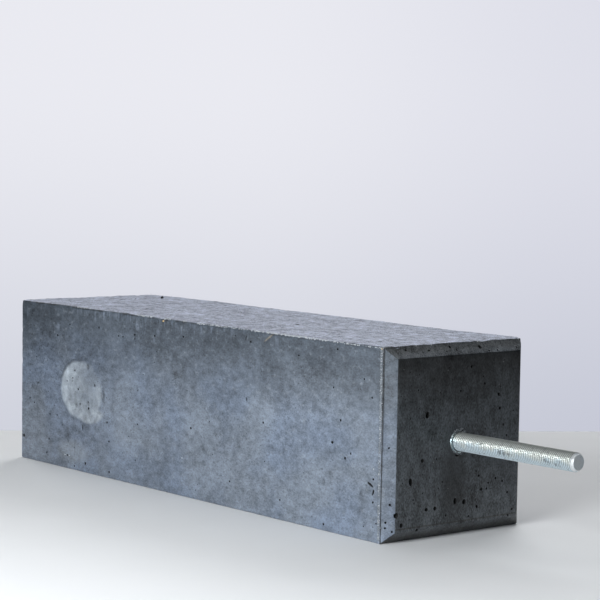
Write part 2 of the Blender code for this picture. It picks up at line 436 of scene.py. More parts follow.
def add_hollow(shape, side, spot, size, lean, sink):
    """Adds a squashed, slightly lumpy ball to a cutter, its middle sunk under the side's surface."""
    _, right, up = SIDES[side]
    out = right.cross(up)
    basis = Matrix((right, up, out)).transposed().to_4x4()
    centre = on_side(side, *spot)
    settled = centre + foot_shift(centre)
    if side == "top":
        settled += out * struck_off(centre)
    place = Matrix.Translation(settled - out * sink * MM)
    stretch = Matrix.Diagonal((*(part / 2 * MM for part in size), 1))
    made = bmesh.ops.create_icosphere(shape, subdivisions=2, radius=1)
    for v in made["verts"]:
        lumpy = v.co * (1 + 0.16 * noise.noise(v.co * 1.3 + Vector((*spot, 0))))
        v.co = place @ basis @ Matrix.Rotation(lean, 4, "Z") @ stretch @ lumpy


def hollow_cutters(wall_finish, dent_finish):
    """A cutter for the dents, which keep the finish of the face, and one for the air holes and slits."""
    pits = bmesh.new()
    pick = random.Random(21)
    for side, spot, width, tall in air_holes():
        deep = HOLE_DEPTH * (width + tall)
        lean = pick.uniform(-HOLE_LEAN, HOLE_LEAN)
        add_hollow(pits, side, spot, (width, tall, deep), lean, deep / 3 * HOLE_SINK)
    for side, right, up, width, tall, lean in SEEN_SLITS:
        add_hollow(pits, side, (right, up), (width, tall, SLIT_DEPTH), lean, SLIT_SINK)
    dents = bmesh.new()
    for right, up, width, tall, deep in FRONT_DENTS:
        add_hollow(dents, "front", (right, up), (width, tall, 4 * deep), 0, -deep)
    cutters = [as_object("dents", dents), as_object("air_holes", pits)]
    for cutter, finish in zip(cutters, (dent_finish, wall_finish)):
        cutter.data.materials.append(finish)
    return cutters


def crumb(shape, place, size, pick, slot):
    """A lump of cement or a grain of sand: a jittered ball, fused into the surface it sits on."""
    made = bmesh.ops.create_icosphere(shape, subdivisions=1, radius=size)
    squash = Vector((pick.uniform(0.7, 1.5), pick.uniform(0.7, 1.3), pick.uniform(0.6, 1.2)))
    for v in made["verts"]:
        v.co = place + v.co * squash * pick.uniform(0.75, 1.2)
    for face in {face for v in made["verts"] for face in v.link_faces}:
        face.material_index = slot
        face.smooth = True


# Crumbs tried for along the front's top arris, down the chamfer's front arris and along the other two
# arrises of the top. The lime ones among those on the chamfer are this share of them.
FRONT_TOP_CRUMBS = 760
FRONT_CHAMFER_CRUMBS = 1000
OTHER_CRUMBS = 60
WHITE_JOINT_SHARE = 0.12
# Toward the foot from here, the front's top arris is clean.
CRUMBS_FROM_X = -0.24
# Lone grains: place in millimetres and radius.
SAND_GRAINS = ((-43, -100.2, 199.6, 1.5), (337.5, -100, 201.6, 1.0))
# A dark clod stuck to the top near its far corner, with the finish of the hole walls.
DARK_CLOD = (-281.3, 68.9, 203.6, 2.2)
LIME_GRAINS = (
    (-248.8, -100, 16.7, 1.0), (-238.7, -100, 16.7, 1.0), (328.6, -100, 76.8, 0.9), (-4, -100, 44.6, 0.8),
    (339.5, -55, 202.9, 0.9), (339.5, -33.5, 202.4, 0.6), (339.5, 33.3, 202.9, 0.7), (339.5, 62, 202.9, 0.5),
)


def on_front_top_arris(x, turn):
    """A point on the worn arris between front and top: turn is 0 on the front's side, 1 on the top's."""
    out = Vector((0, -math.cos(turn * math.pi / 2), math.sin(turn * math.pi / 2)))
    p = Vector((x, -HALF_WIDTH + ARRIS_RADIUS, HEIGHT - ARRIS_RADIUS)) + out * ARRIS_RADIUS
    return p + out * (burr_height(p) - arris_wear(p)) + foot_shift(p)


def on_front_shoulder(aside, z):
    """A point on the ridge of paste down the chamfer's front arris, aside metres from its middle."""
    p = Vector((SHOULDER_X + aside, -HALF_WIDTH, z))
    p.y += max(aside, 0) * CHAMFER_WIDTH / CHAMFER_DEPTH
    p.y -= 0.5 * MM * max(0, 0.7 + 0.6 * noise.noise(p * 180)) * smooth_step(-1.2 * MM, -0.4 * MM, aside)
    return p


def add_crumbs(shape, slots):
    """Every crumb and grain, each with the finish whose slot is given by name."""
    lime, joint = slots["cement_crumbs"], slots["joint_crumbs"]
    pick = random.Random(5)
    for _ in range(FRONT_TOP_CRUMBS):
        x = FOOT_X + (SHOULDER_X - FOOT_X) * pick.random() ** 0.62
        place = on_front_top_arris(x, pick.uniform(0.15, 1.0))
        cover = noise.noise(place * 45) + smooth_step(-0.05, 0.12, x) * 0.4
        if cover > 0.02 and x > CRUMBS_FROM_X:
            crumb(shape, place, pick.uniform(0.25, 0.75) * MM, pick, lime)
    for _ in range(FRONT_CHAMFER_CRUMBS):
        place = on_front_shoulder(pick.gauss(-1.5, 0.95) * MM, pick.uniform(0.004, HEIGHT - 0.004))
        if noise.noise(place * 60 + Vector((3, 3, 3))) > -0.3:
            finish = lime if pick.random() < WHITE_JOINT_SHARE else joint
            crumb(shape, place, pick.uniform(0.25, 0.65) * MM, pick, finish)
    for _ in range(OTHER_CRUMBS):
        y = pick.uniform(-HALF_WIDTH, HALF_WIDTH)
        place = Vector((SHOULDER_X + 0.3 * MM, y, HEIGHT - 0.5 * MM))
        crumb(shape, place, pick.uniform(0.2, 0.55) * MM, pick, lime)
        x = pick.uniform(FOOT_X, SHOULDER_X)
        place = Vector((x, HALF_WIDTH - 0.4 * MM, HEIGHT - 0.4 * MM))
        crumb(shape, place, pick.uniform(0.25, 0.6) * MM, pick, lime)
    lone = (((DARK_CLOD,), "hole_wall"), (SAND_GRAINS, "sand_grain"), (LIME_GRAINS, "cement_crumbs"))
    for grains, name in lone:
        for x, y, z, size in grains:
            crumb(shape, Vector((x, y, z)) * MM, size * MM, pick, slots[name])


def add(tree, kind, inputs, **settings):
    """Adds a shader node. Each input is a plain value or another node's output."""
    made = tree.nodes.new(kind)
    for name, value in settings.items():
        setattr(made, name, value)
    for key, value in inputs.items():
        if isinstance(value, bpy.types.NodeSocket):
            tree.links.new(value, made.inputs[key])
        else:
            made.inputs[key].default_value = value
    return made


def sum_of(tree, operation, *values):
    """A Math node's output, from one, two or three values."""
    return add(tree, "ShaderNodeMath", dict(enumerate(values)), operation=operation).outputs[0]


def product(tree, *values):
    """The values multiplied together."""
    total = values[0]
    for value in values[1:]:
        total = sum_of(tree, "MULTIPLY", total, value)
    return total


def gap_to(tree, value, middle):
    """How far value is from middle, to either side."""
    return sum_of(tree, "ABSOLUTE", sum_of(tree, "SUBTRACT", value, middle))


def vector_of(tree, operation, *values):
    """A Vector Math node's vector."""
    return add(tree, "ShaderNodeVectorMath", dict(enumerate(values)), operation=operation).outputs[0]


def measured(tree, operation, *values):
    """A Vector Math node's number, such as a length or a distance."""
    inputs = dict(enumerate(values))
    return add(tree, "ShaderNodeVectorMath", inputs, operation=operation).outputs["Value"]


def parts_of(tree, vector):
    """The vector's X, Y and Z."""
    return add(tree, "ShaderNodeSeparateXYZ", {0: vector}).outputs


def mapped(tree, value, low, high, new_low=0.0, new_high=1.0):
    """value eased from low..high to new_low..new_high, and held there outside it."""
    inputs = {"Value": value, "From Min": low, "From Max": high, "To Min": new_low, "To Max": new_high}
    return add(tree, "ShaderNodeMapRange", inputs, interpolation_type="SMOOTHSTEP").outputs[0]


def blended(tree, share, colour, other, way="MIX"):
    """Two colours blended by share: the Mix node's sockets 6, 7 and 2 are its colours."""
    made = add(tree, "ShaderNodeMix", {0: share, 6: colour, 7: other}, data_type="RGBA", blend_type=way)
    return made.outputs[2]


def tinted(tree, colour, shade):
    """colour multiplied by a shade or by another colour."""
    return blended(tree, 1.0, colour, shade, "MULTIPLY")


def stretched(tree, place, *scale):
    return vector_of(tree, "MULTIPLY", place, scale)


def noise_of(tree, place, size, detail=2.0, roughness=0.5):
    """Noise from 0 to 1 with features about size millimetres across."""
    inputs = {"Vector": place, "Scale": 1 / size, "Detail": detail, "Roughness": roughness}
    return add(tree, "ShaderNodeTexNoise", inputs).outputs["Fac"]


def millimetres(tree):
    """The point's place in the object's own frame, in millimetres."""
    place = add(tree, "ShaderNodeTexCoord", {}).outputs["Object"]
    return stretched(tree, place, 1000, 1000, 1000)


def new_group(name, inputs, outputs):
    """A shader node group with a vector called Place, named value inputs and named value outputs."""
    group = bpy.data.node_groups.new(name, "ShaderNodeTree")
    group.interface.new_socket("Place", in_out="INPUT", socket_type="NodeSocketVector")
    for label, value in inputs.items():
        socket = group.interface.new_socket(label, in_out="INPUT", socket_type="NodeSocketFloat")
        socket.default_value = value
    for label in outputs:
        group.interface.new_socket(label, in_out="OUTPUT", socket_type="NodeSocketFloat")
    return group, group.nodes.new("NodeGroupInput").outputs, group.nodes.new("NodeGroupOutput").inputs


def placed(tree, group, place, **values):
    made = add(tree, "ShaderNodeGroup", {}, node_tree=group)
    tree.links.new(place, made.inputs["Place"])
    for name, value in values.items():
        made.inputs[name].default_value = value
    return made.outputs


def cement_cloud_group():
    """Shade of hardened cement paste, around 1: broad clouds, blotches and fine grain."""
    strengths = {"Cloud": 0.2, "Blotch": 0.2, "Grain": 0.2}
    group, given, out = new_group("cement_clouds", strengths, ["Shade", "Fine"])
    place = given["Place"]
    parts = []
    for name, size, detail in (("Cloud", 55, 3), ("Blotch", 9, 3), ("Grain", 1.5, 2)):
        centred = sum_of(group, "SUBTRACT", noise_of(group, place, size, detail, 0.55), 0.5)
        parts.append(product(group, centred, given[name]))
    total = sum_of(group, "ADD", sum_of(group, "ADD", parts[0], parts[1]), parts[2])
    group.links.new(sum_of(group, "ADD", total, 1.0), out["Shade"])
    group.links.new(noise_of(group, place, 0.8, 3, 0.6), out["Fine"])
    return group


def pinhole_group():
    """Pinholes too small to cut: a mask of dots, some larger than others."""
    group, given, out = new_group("pinholes", {"Spacing": 8.0, "Size": 0.8}, ["Mask"])
    scale = sum_of(group, "DIVIDE", 1.0, given["Spacing"])
    cells = add(group, "ShaderNodeTexVoronoi", {"Vector": given["Place"], "Scale": scale})
    distance = product(group, cells.outputs["Distance"], given["Spacing"])
    chance = add(group, "ShaderNodeSeparateColor", {0: cells.outputs["Color"]}).outputs[0]
    radius = product(group, mapped(group, chance, 0.3, 1), given["Size"])
    edge = sum_of(group, "SUBTRACT", radius, distance)
    group.links.new(mapped(group, edge, -0.15, 0.25), out["Mask"])
    return group


CLOUDS = cement_cloud_group()
PINHOLES = pinhole_group()


def new_finish(name, roughness):
    """A new material and its node tree, Principled shader and place in millimetres."""
    made = bpy.data.materials.new(name)
    made.use_nodes = True
    tree = made.node_tree
    shader = tree.nodes["Principled BSDF"]
    shader.inputs["Roughness"].default_value = roughness
    return made, tree, shader, millimetres(tree)


def set_bump(tree, shader, height, strength, distance):
    inputs = {"Height": height, "Strength": strength, "Distance": distance}
    tree.links.new(add(tree, "ShaderNodeBump", inputs).outputs[0], shader.inputs["Normal"])


def speckle_group():
    """Masks of the small marks in cast cement: dark dots and pale flecks."""
    group, given, out = new_group("cement_speckle", {}, ["Dots", "Flecks"])
    place = given["Place"]
    group.links.new(mapped(group, noise_of(group, place, 2.6, 1), 0.57, 0.72), out["Dots"])
    shifted = stretched(group, place, -1, 1, 1)
    group.links.new(mapped(group, noise_of(group, shifted, 5.5, 2, 0.55), 0.56, 0.74), out["Flecks"])
    return group


def drip_group():
    """A thin upright run on the front side, soft at both ends: 1 on it."""
    inputs = {"X": 0.0, "Top": 190.0, "Bottom": 170.0, "Width": 1.2}
    group, given, out = new_group("drip", inputs, ["Mask"])
    wander = sum_of(group, "MULTIPLY_ADD", noise_of(group, given["Place"], 6, 2), 1.6, -0.8)
    parts = parts_of(group, given["Place"])
    aside = gap_to(group, sum_of(group, "ADD", parts["X"], wander), given["X"])
    line = mapped(group, sum_of(group, "DIVIDE", aside, given["Width"]), 1.2, 0.5)
    below_top = mapped(group, sum_of(group, "SUBTRACT", given["Top"], parts["Z"]), 0, 2)
    above_end = mapped(group, sum_of(group, "SUBTRACT", parts["Z"], given["Bottom"]), 0, 9)
    mask = product(group, line, product(group, below_top, above_end))
    group.links.new(mask, out["Mask"])
    return group


SPECKLE = speckle_group()
DRIP = drip_group()


# Marks drawn on a face fade out this far in from it, in millimetres.
MARK_DEPTH = 12


def oval(tree, place, centre, radii, soft, tilt=0, side="front"):
    """A soft-edged oval on the front or the rod end, 1 inside, from its centre and radii in millimetres."""
    if side == "front":
        middle = (centre[0], -HALF_WIDTH / MM, centre[1])
        scale = (1 / radii[0], 1 / MARK_DEPTH, 1 / radii[1])
        axis = "Y_AXIS"
    else:
        middle = (END_X / MM, centre[0], centre[1])
        scale = (1 / MARK_DEPTH, 1 / radii[0], 1 / radii[1])
        axis = "X_AXIS"
    moved = vector_of(tree, "SUBTRACT", place, middle)
    tilted = add(tree, "ShaderNodeVectorRotate", {"Vector": moved, "Angle": tilt}, rotation_type=axis)
    scaled = stretched(tree, tilted.outputs[0], *scale)
    return mapped(tree, measured(tree, "LENGTH", scaled), 1 + soft, 1 - soft)


CAST_BLUE = (0.125, 0.155, 0.206, 1)
CAST_GREY = (0.141, 0.163, 0.193, 1)
# Painted shade towards the top of the mould-cast sides.
UPPER_SHADE_GREY = (0.066, 0.079, 0.097, 1)
END_GREY = (0.0515, 0.0585, 0.0655, 1)
# Painted floor bounce on the lower part of the rod end.
END_BOUNCE_LIT = (0.073, 0.082, 0.09, 1)
# Painted shade towards the top of the rod end.
END_UPPER_SHADE = (0.0215, 0.0225, 0.0235, 1)
# Painted light and shade on the rod end's chamfers: the top one lit from above, the bottom one in contact
# shadow.
CHAMFER_TOP_LIT = (0.079, 0.083, 0.086, 1)
CHAMFER_LOW_SHADED = (0.04, 0.043, 0.043, 1)
STRUCK_GREY = (0.344, 0.37, 0.458, 1)
BLOOM_GREY = (0.274, 0.307, 0.342, 1)
DRIP_BLUE = (0.2, 0.235, 0.295, 1)
STRAW = (0.26, 0.22, 0.16, 1)
RUST_LINE = (0.034, 0.03, 0.025, 1)
# Painted shade of pinholes too small to cut.
PINHOLE_SHADE = (0.012, 0.013, 0.015, 1)
SPECK_PALE = (0.42, 0.44, 0.45, 1)
# Pale runs under the top arris of the front: place along the block, top, bottom, half width and strength.
DRIPS = (
    (-338, 196, 173, 1.1, 0.25), (-215.7, 202, 192, 1.3, 0.4), (-185, 202, 185, 1.3, 0.4),
    (-166.4, 202, 188, 2.0, 0.5), (-140, 202, 192, 1.2, 0.35), (-134.7, 203, 190, 1.3, 0.45),
    (-120, 202, 194, 1.2, 0.3), (-110.7, 203, 190, 1.3, 0.4), (-80.3, 193, 176, 1.1, 0.25),
    (-41, 200, 189, 1.2, 0.3), (-26.4, 203, 189, 1.3, 0.4), (-8.3, 197, 183, 1.2, 0.3),
    (16.3, 197, 185, 1.2, 0.3), (48.7, 202, 189, 1.9, 0.55), (72.4, 203, 190, 1.2, 0.35),
    (167, 203, 184, 3.6, 0.22),
)
# Round blotches of the same lime: place along the block, height, radius and strength.
LIME_BLOTCHES = (
    (-96, 188.5, 3.8, 0.4), (-54.7, 185.3, 3.2, 0.35), (-62, 176.5, 2.3, 0.3), (-267, 175, 3.6, 0.3),
    (-333, 21, 6, 0.2), (-330.5, 92.7, 4, 0.3), (-299, 81, 5, 0.2), (-59.5, 65, 9, 0.14),
    (93.4, 144.6, 5, 0.14), (-22.3, 133.2, 3, 0.2),
)
# Soft dark marks on the front, those over the dents being painted shade in them: place along the block,
# height, half width, half height and strength.
DARK_MARKS = (
    (-244, 42, 7, 6, 0.3), (91.5, 146, 5, 4, 0.22), (-232, 50.6, 2, 7, 0.25),
    (-256.7, 54.5, 1.6, 5, 0.25), (249.4, 53.2, 2.4, 4, 0.4), (275.4, 37.1, 2.2, 3.2, 0.35),
    (308.6, 48.5, 2.2, 3, 0.35), (128, 166, 2.2, 2.2, 0.3), (148.8, 168.4, 2.2, 2.2, 0.3),
    (-227.4, 30, 0.8, 13, 0.35), (-217.9, 11, 0.8, 9, 0.35), (23.8, 76, 5, 3, 0.2),
    (-166.3, 99.5, 3.4, 8.5, 0.45), (-175, 77, 5, 1.6, 0.35), (-199.7, 131.2, 2.6, 3.6, 0.45),
    (-224.2, 81.3, 2.8, 3, 0.4), (-216.4, 83.4, 1.4, 1.8, 0.4), (321.5, 54.3, 5.5, 5, 0.14),
    (337.8, 96, 2, 3.2, 0.2), (-197.5, 85.4, 2, 3, 0.3),
)


def largest(tree, masks):
    """The highest of several masks at each point."""
    total = masks[0]
    for mask in masks[1:]:
        total = sum_of(tree, "MAXIMUM", total, mask)
    return total


def bent_place(tree, place, size, reach):
    """place pushed about over the front by noise, so that a stain's outline isn't a true oval."""
    warp = add(tree, "ShaderNodeTexNoise", {"Vector": place, "Scale": 1 / size, "Detail": 3.0})
    push = vector_of(tree, "SUBTRACT", warp.outputs["Color"], (0.5, 0.5, 0.5))
    push = stretched(tree, push, reach, 0, reach)
    return vector_of(tree, "ADD", place, push)


def bloom_mask(tree, place):
    """The pale lime stain near the foot of the front, brightest round its rim, and a fainter one below."""
    bent = bent_place(tree, place, 16, 7)
    body = largest(tree, [
        oval(tree, bent, (-214.5, 100.5), (44.5, 35.5), 0.07),
        oval(tree, bent, (-194, 72), (27, 10), 0.16, 0.1),
    ])
    core = oval(tree, bent, (-206, 107), (34, 27), 0.5, -0.2)
    fade = sum_of(tree, "MULTIPLY_ADD", oval(tree, bent, (-181, 127), (26, 18), 0.75, 0.5), -0.75, 1.0)
    band = oval(tree, bent, (-201, 92), (22, 4.5), 0.6, -0.15)
    paler = sum_of(tree, "MULTIPLY_ADD", core, -0.2, 0.95)
    paler = product(tree, paler, sum_of(tree, "MULTIPLY_ADD", band, -0.16, 1.0), fade)
    patchy = mapped(tree, noise_of(tree, place, 14, 3), 0.3, 0.7, 0.82, 1.0)
    upper = product(tree, body, paler, patchy)
    lower = oval(tree, bent, (-230, 23), (33, 13), 0.45)
    return sum_of(tree, "MAXIMUM", upper, product(tree, lower, 0.36))


def bloom_shadow(tree, place, parts):
    """The thin dark line along the upper left edge of the stain."""
    bent = bent_place(tree, place, 16, 7)
    outer = oval(tree, bent, (-216, 101.5), (45.5, 38), 0.02)
    inner = oval(tree, bent, (-214.5, 100.5), (43, 35.5), 0.04)
    line = product(tree, outer, sum_of(tree, "SUBTRACT", 1.0, inner))
    upper_left = product(tree, mapped(tree, parts["Z"], 112, 122), mapped(tree, parts["X"], -222, -232))
    return product(tree, line, upper_left)


def drip_mask(tree, place, parts):
    """Every pale run, round blotch and faint streak under the top arris of the front."""
    marks = []
    for x, top, bottom, width, strength in DRIPS:
        run = placed(tree, DRIP, place, X=x, Top=top, Bottom=bottom, Width=width)["Mask"]
        marks.append(product(tree, run, strength))
    for x, z, radius, strength in LIME_BLOTCHES:
        round_mark = oval(tree, place, (x, z), (radius, radius * 1.3), 0.45)
        marks.append(product(tree, round_mark, strength))
    streaks = mapped(tree, noise_of(tree, stretched(tree, place, 1, 1, 0.14), 2.4, 2), 0.5, 0.74)
    along = product(tree, mapped(tree, parts["X"], -240, -205), mapped(tree, parts["X"], 150, 90))
    marks.append(product(tree, streaks, along, mapped(tree, parts["Z"], 184, 199), 0.3))
    return largest(tree, marks)


def darkened(tree, colour, mask, share):
    """colour, made darker by share where the mask is 1."""
    kept = sum_of(tree, "SUBTRACT", 1.0, product(tree, mask, share))
    return tinted(tree, colour, kept)


def cast_side_colour(tree, place, parts, level, speckle, on_front):
    """Colour of the sides that lay against the mould, with their lime runs, stain and dark marks, and
    painted shade towards the top.
    """
    tone = mapped(tree, noise_of(tree, place, 80, 2), 0.35, 0.65)
    warmer = product(tree, mapped(tree, parts["X"], 0, 260), mapped(tree, parts["Z"], 90, 170))
    tone = sum_of(tree, "MAXIMUM", product(tree, tone, 0.7), warmer)
    sides = blended(tree, tone, CAST_BLUE, CAST_GREY)
    # Painted shade: darker towards the top, less so on the chamfer.
    on_chamfer = mapped(tree, parts["X"], 338.8, 339.6, 1.0, 0.55)
    sides = blended(tree, product(tree, level, on_chamfer), sides, UPPER_SHADE_GREY)
    # Darker towards the foot and the top: partly the concrete's own tone, partly painted shade far from the
    # front light.
    foot_tone_and_shade = product(tree, mapped(tree, parts["X"], -200, -330), mapped(tree, parts["Z"], 90, 185))
    sides = darkened(tree, sides, foot_tone_and_shade, 0.2)
    flecks = product(tree, speckle["Flecks"], 0.22)
    sides = blended(tree, flecks, sides, BLOOM_GREY)
    runs = product(tree, drip_mask(tree, place, parts), on_front)
    sides = blended(tree, runs, sides, DRIP_BLUE)
    straw = oval(tree, place, (153, 197.4), (9.8, 1.0), 0.4, 0.54)
    sides = blended(tree, product(tree, straw, 0.5), sides, STRAW)
    beads = mapped(tree, noise_of(tree, place, 1.5, 1), 0.5, 0.66)
    at_joint = mapped(tree, gap_to(tree, parts["X"], 337.1), 2.3, 1.2)
    return blended(tree, product(tree, beads, at_joint, on_front, 0.4), sides, SPECK_PALE)


def front_shade(tree, place, parts, on_front):
    """The dark marks on the front, with painted shade in the dents among them, the line over the stain,
    painted shade in the groove beside the chamfer's arris, a faint dark line near it, and painted shadow
    under the top arris's lip.
    """
    marks = []
    for x, z, half_width, half_height, strength in DARK_MARKS:
        mark = oval(tree, place, (x, z), (half_width, half_height), 0.5)
        marks.append(product(tree, mark, strength))
    marks.append(product(tree, bloom_shadow(tree, place, parts), 0.35))
    # Painted shade in the groove beside the chamfer's arris, stronger higher up.
    groove = mapped(tree, gap_to(tree, parts["X"], 339.8), 1.2, 0.4)
    marks.append(product(tree, groove, mapped(tree, parts["Z"], 30, 150, 0.08, 0.55)))
    marks.append(product(tree, mapped(tree, gap_to(tree, parts["X"], 335.0), 0.9, 0.2), 0.16))
    # Painted shadow under the lip of the top arris, stronger towards the foot.
    ragged = mapped(tree, noise_of(tree, place, 14, 2), 0.44, 0.58)
    under_lip = mapped(tree, parts["Z"], 199.6, 201.4)
    toward_foot = mapped(tree, parts["X"], 60, -60, 0.5, 1.0)
    marks.append(product(tree, ragged, under_lip, toward_foot, 0.62))
    return product(tree, largest(tree, marks), on_front)


def rod_end_colour(tree, place, parts, level):
    """Colour of the rod end and its chamfers, with painted light and shade: darkest above, lighter low down,
    a shadow under the rod, the top chamfer lit and the bottom one shaded, and a highlight towards their
    outer edge.
    """
    # Painted shade: darker towards the top.
    end = blended(tree, level, END_GREY, END_UPPER_SHADE)
    # Painted floor bounce: lighter towards the bottom.
    end = blended(tree, mapped(tree, parts["Z"], 75, 12), end, END_BOUNCE_LIT)
    low_line = product(tree, mapped(tree, gap_to(tree, parts["Z"], 15.2), 1.3, 0.3), 0.7)
    end = blended(tree, low_line, end, RUST_LINE)
    # Painted shadow under the rod.
    painted_rod_shadow = oval(tree, place, (-8, 60), (17, 40), 0.7, 0, "rod end")
    end = darkened(tree, end, painted_rod_shadow, 0.62)
    # Painted light and shade: the chamfers lighter towards the top, darker towards the bottom.
    bevel = blended(tree, mapped(tree, parts["Z"], 20, 150), CHAMFER_LOW_SHADED, CHAMFER_TOP_LIT)
    # Painted highlight towards the chamfers' outer edge.
    bevel = blended(tree, mapped(tree, parts["X"], 342, 349, 0.0, 0.25), bevel, CAST_GREY)
    return blended(tree, mapped(tree, parts["X"], 349.6, 349.0), end, bevel)


def charcoal_concrete():
    """The casting's finish: sides smooth from the mould, the dark rod end and the struck-off top."""
    made, tree, shader, place = new_finish("charcoal_concrete", 0.7)
    normal = parts_of(tree, add(tree, "ShaderNodeNewGeometry", {}).outputs["Normal"])
    parts = parts_of(tree, place)
    on_top = product(tree, mapped(tree, normal["Z"], 0.72, 0.9), mapped(tree, parts["Z"], 199, 201))
    on_front = mapped(tree, normal["Y"], -0.45, -0.6)
    on_end = mapped(tree, normal["X"], 0.35, 0.6)
    on_end = product(tree, on_end, sum_of(tree, "SUBTRACT", 1.0, on_front))

    # level: painted shade towards the top of the sides and the rod end, with a wandering edge.
    wander = product(tree, noise_of(tree, place, 45, 3, 0.55), 70)
    level = mapped(tree, sum_of(tree, "ADD", parts["Z"], wander), 145, 228)
    speckle = placed(tree, SPECKLE, stretched(tree, place, 0.7, 1, 1))
    busy = mapped(tree, noise_of(tree, place, 110, 1), 0.35, 0.65, 0.5, 1.1)
    busy = sum_of(tree, "ADD", busy, mapped(tree, parts["X"], -100, -300, 0.0, 0.35))
    along = stretched(tree, place, 0.65, 1, 1)
    side_clouds = placed(tree, CLOUDS, along, Cloud=1.1, Blotch=1.35, Grain=1.15)
    sides = cast_side_colour(tree, place, parts, level, speckle, on_front)
    sides = tinted(tree, sides, side_clouds["Shade"])
    sides = darkened(tree, sides, product(tree, speckle["Dots"], busy), 0.3)
    stain_clouds = placed(tree, CLOUDS, place, Cloud=1.5, Blotch=1.5, Grain=0.8)
    stain = tinted(tree, BLOOM_GREY, stain_clouds["Shade"])
    sides = blended(tree, product(tree, bloom_mask(tree, place), on_front), sides, stain)
    sides = darkened(tree, sides, front_shade(tree, place, parts, on_front), 1.0)
    end_clouds = placed(tree, CLOUDS, stretched(tree, place, 1, 1, 0.6), Cloud=1.8, Blotch=2.1, Grain=3.2)
    rod_end = tinted(tree, rod_end_colour(tree, place, parts, level), end_clouds["Shade"])
    rod_end = darkened(tree, rod_end, speckle["Dots"], 0.5)
    cast = blended(tree, on_end, sides, rod_end)

    dragged = stretched(tree, place, 0.12, 1, 1)
    drags = mapped(tree, noise_of(tree, dragged, 4.5, 5, 0.7), 0.25, 0.75, 0.75, 1.23)
    top_clouds = placed(tree, CLOUDS, place, Cloud=0.4, Blotch=2.2, Grain=3.0)
    struck = tinted(tree, STRUCK_GREY, product(tree, top_clouds["Shade"], drags))
    torn = mapped(tree, noise_of(tree, stretched(tree, place, 0.55, 1, 1), 7, 4, 0.7), 0.58, 0.68)
    struck = darkened(tree, struck, torn, 0.36)
    colour = blended(tree, on_top, cast, struck)

    pale = placed(tree, PINHOLES, place, Spacing=13, Size=0.6)["Mask"]
    colour = blended(tree, product(tree, pale, 0.35), colour, SPECK_PALE)
    # Dark dots: painted shade of pinholes too small to cut.
    shifted = vector_of(tree, "ADD", place, (31, 17, 5))
    holes = placed(tree, PINHOLES, shifted, Spacing=7.5, Size=0.9)["Mask"]
    colour = blended(tree, product(tree, holes, 0.75), colour, PINHOLE_SHADE)
    tree.links.new(colour, shader.inputs["Base Color"])

    polish = mapped(tree, noise_of(tree, place, 14, 4, 0.6), 0.3, 0.7, 0.32, 0.46)
    rough = add(tree, "ShaderNodeMix", {0: on_top, 2: polish, 3: 0.75}).outputs[0]
    tree.links.new(rough, shader.inputs["Roughness"])
    low = product(tree, side_clouds["Fine"], 0.5)
    low = sum_of(tree, "ADD", low, product(tree, drags, product(tree, on_top, 2.0)))
    low = sum_of(tree, "SUBTRACT", low, holes)
    set_bump(tree, shader, low, 0.6, 0.25 * MM)
    return made


def plain_cement(name, colour, roughness, variation):
    """A cement finish of one tone: hole walls, crumbs and sand grains."""
    made, tree, shader, place = new_finish(name, roughness)
    shade = placed(tree, CLOUDS, place, Cloud=0.0, Blotch=variation, Grain=variation)
    mixed = tinted(tree, (*colour, 1), shade["Shade"])
    tree.links.new(mixed, shader.inputs["Base Color"])
    set_bump(tree, shader, shade["Fine"], 0.5, 0.2 * MM)
    return made


def cut_hollows(block, cutters):
    """Cuts the cutters out of the block, one after the other, and clears them away."""
    for cutter in cutters:
        cut = block.modifiers.new(cutter.name, "BOOLEAN")
        cut.operation = "DIFFERENCE"
        cut.solver = "EXACT"
        cut.material_mode = "TRANSFER"
        cut.object = cutter
    evaluated = block.evaluated_get(bpy.context.evaluated_depsgraph_get())
    holed = bpy.data.meshes.new_from_object(evaluated)
    block.modifiers.clear()
    block.data = holed
    for cutter in cutters:
        bpy.data.objects.remove(cutter)


# The hole walls' near-black colour is painted shade deep in the holes.
HOLE_WALL_FINISH = ("hole_wall", (0.008, 0.0085, 0.009), 0.9, 0.5)
# Name, colour, roughness and how mottled.
CRUMB_FINISHES = (
    ("cement_crumbs", (0.44, 0.46, 0.48), 0.75, 0.7),
    ("sand_grain", (0.42, 0.3, 0.15), 0.6, 0.4),
    ("joint_crumbs", (0.19, 0.21, 0.235), 0.75, 1.2),
)
BLOCK_CREASE = math.radians(32)


def build_block():
    shape = bmesh.new()
    skin(shape, block_rings())
    roughen(shape)
    block = as_object("column_block", shape)
    concrete = charcoal_concrete()
    block.data.materials.append(concrete)
    cut_hollows(block, hollow_cutters(plain_cement(*HOLE_WALL_FINISH), concrete))
    for finish in CRUMB_FINISHES:
        block.data.materials.append(plain_cement(*finish))
    slots = {finish.name: slot for slot, finish in enumerate(block.data.materials)}
    shape = bmesh.new()
    shape.from_mesh(block.data)
    for face in shape.faces:
        face.smooth = True
    add_crumbs(shape, slots)
    shape.to_mesh(block.data)
    shape.free()
    block.data.set_sharp_from_angle(angle=BLOCK_CREASE)
    return block


column_block = build_block()
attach(column_block, "root")
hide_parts("concrete_block")

# Threaded socket
# A zinc-plated steel tube cast into the rod end, with its rim a millimetre proud of the concrete.
SOCKET_WALL = 3.2 * MM
SOCKET_FLOOR = 4 * MM
SOCKET_EDGE = 0.5 * MM
SOCKET_SIDES = 96
SOCKET_CREASE = math.radians(50)
# The rim's outer edge slopes back into the concrete.
SOCKET_BEVEL = 1.3 * MM
SOCKET_BEVEL_IN = 1.0 * MM
LIP_STEPS = 3


